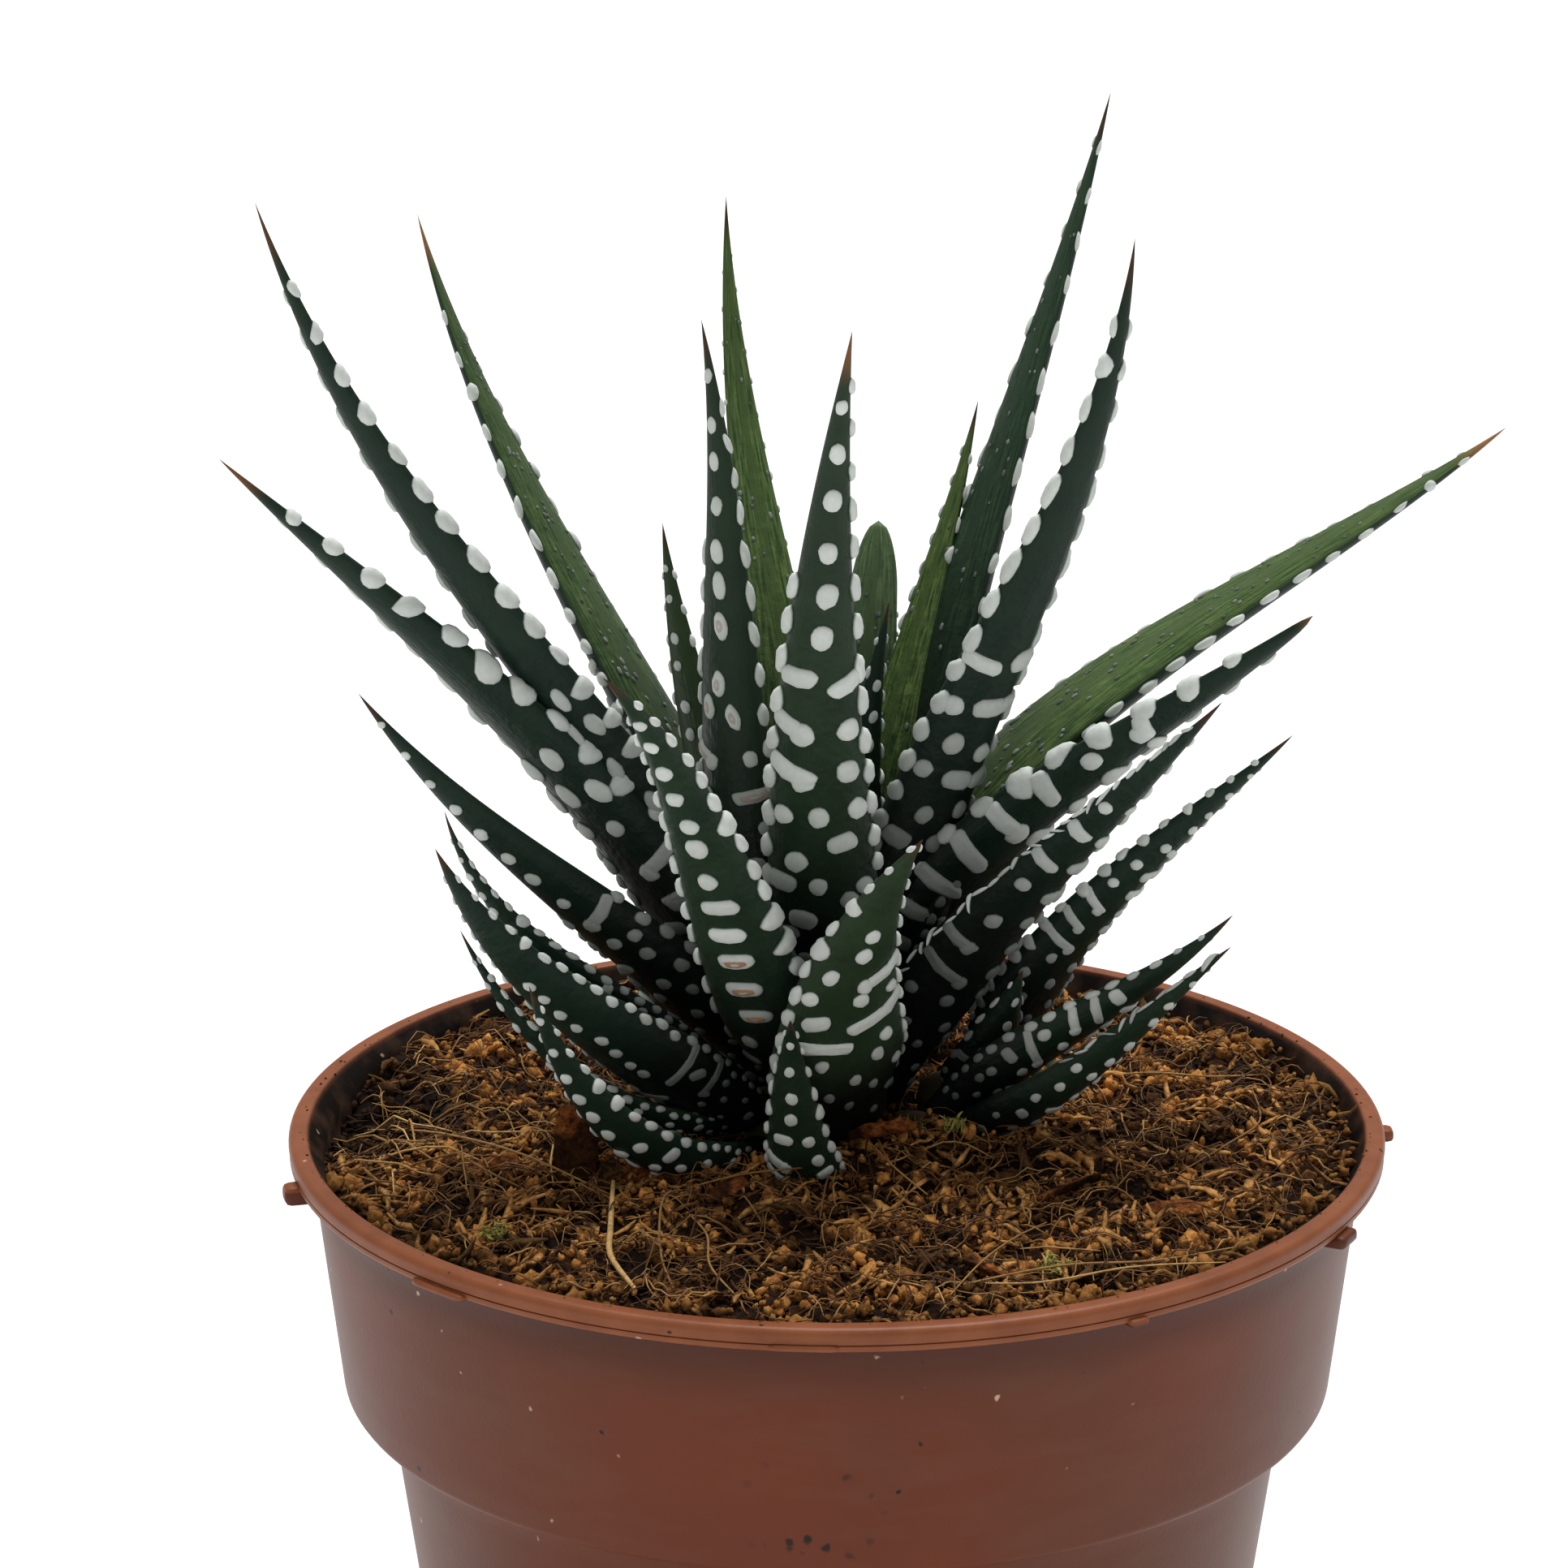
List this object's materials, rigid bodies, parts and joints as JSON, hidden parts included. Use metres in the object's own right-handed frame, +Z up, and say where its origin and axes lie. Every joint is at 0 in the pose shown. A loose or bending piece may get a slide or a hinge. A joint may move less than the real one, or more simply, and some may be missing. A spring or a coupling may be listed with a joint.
{
  "type": "potted haworthia",
  "caption": "Small succulent clump of pointed leaves with raised white dots, growing in potting mix in a round tapered nursery pot that stands on its base.",
  "frame": {"origin": "centre of the flat underside of the pot", "axes": "+Z up along the pot's axis, -Y towards the side that the longest front leaves lean to, +X to the right as seen from that side"},
  "size_m": [0.0943, 0.0857, 0.1415],
  "materials": {
    "pot_plastic": "brick-brown moulded plastic with a soft sheen",
    "potting_mix": "coarse brown coir and peat with straw-coloured fibres and dark gaps",
    "leaf_flesh": "dark green satin succulent skin, with raised white dots and bands outside and a lighter green inner face",
    "stem_flesh": "dull green-brown stem, almost hidden by the leaf bases"
  },
  "bodies": {
    "root": {"main_stem": "stem_flesh", "front_stem": "stem_flesh", "left_stem": "stem_flesh", "right_stem": "stem_flesh", "side_stem": "stem_flesh", "back_stem": "stem_flesh", "main_leaf_01": "leaf_flesh", "main_leaf_02": "leaf_flesh", "main_leaf_03": "leaf_flesh", "main_leaf_04": "leaf_flesh", "main_leaf_05": "leaf_flesh", "main_leaf_06": "leaf_flesh", "main_leaf_07": "leaf_flesh", "main_leaf_08": "leaf_flesh", "main_leaf_09": "leaf_flesh", "main_leaf_10": "leaf_flesh", "main_leaf_11": "leaf_flesh", "main_leaf_12": "leaf_flesh", "main_leaf_13": "leaf_flesh", "main_leaf_14": "leaf_flesh", "main_leaf_15": "leaf_flesh", "main_leaf_16": "leaf_flesh", "main_leaf_17": "leaf_flesh", "main_leaf_18": "leaf_flesh", "main_leaf_19": "leaf_flesh", "main_leaf_20": "leaf_flesh", "main_leaf_21": "leaf_flesh", "main_leaf_22": "leaf_flesh", "main_leaf_23": "leaf_flesh", "main_leaf_24": "leaf_flesh", "main_leaf_25": "leaf_flesh", "main_leaf_26": "leaf_flesh", "front_leaf_01": "leaf_flesh", "front_leaf_02": "leaf_flesh", "front_leaf_03": "leaf_flesh", "left_leaf_01": "leaf_flesh", "left_leaf_02": "leaf_flesh", "left_leaf_03": "leaf_flesh", "left_leaf_04": "leaf_flesh", "right_leaf_01": "leaf_flesh", "right_leaf_02": "leaf_flesh", "side_leaf_01": "leaf_flesh", "side_leaf_02": "leaf_flesh", "back_leaf_01": "leaf_flesh", "back_leaf_02": "leaf_flesh", "back_leaf_03": "leaf_flesh", "potting_mix": "potting_mix", "pot": "pot_plastic"}
  },
  "joints": []
}
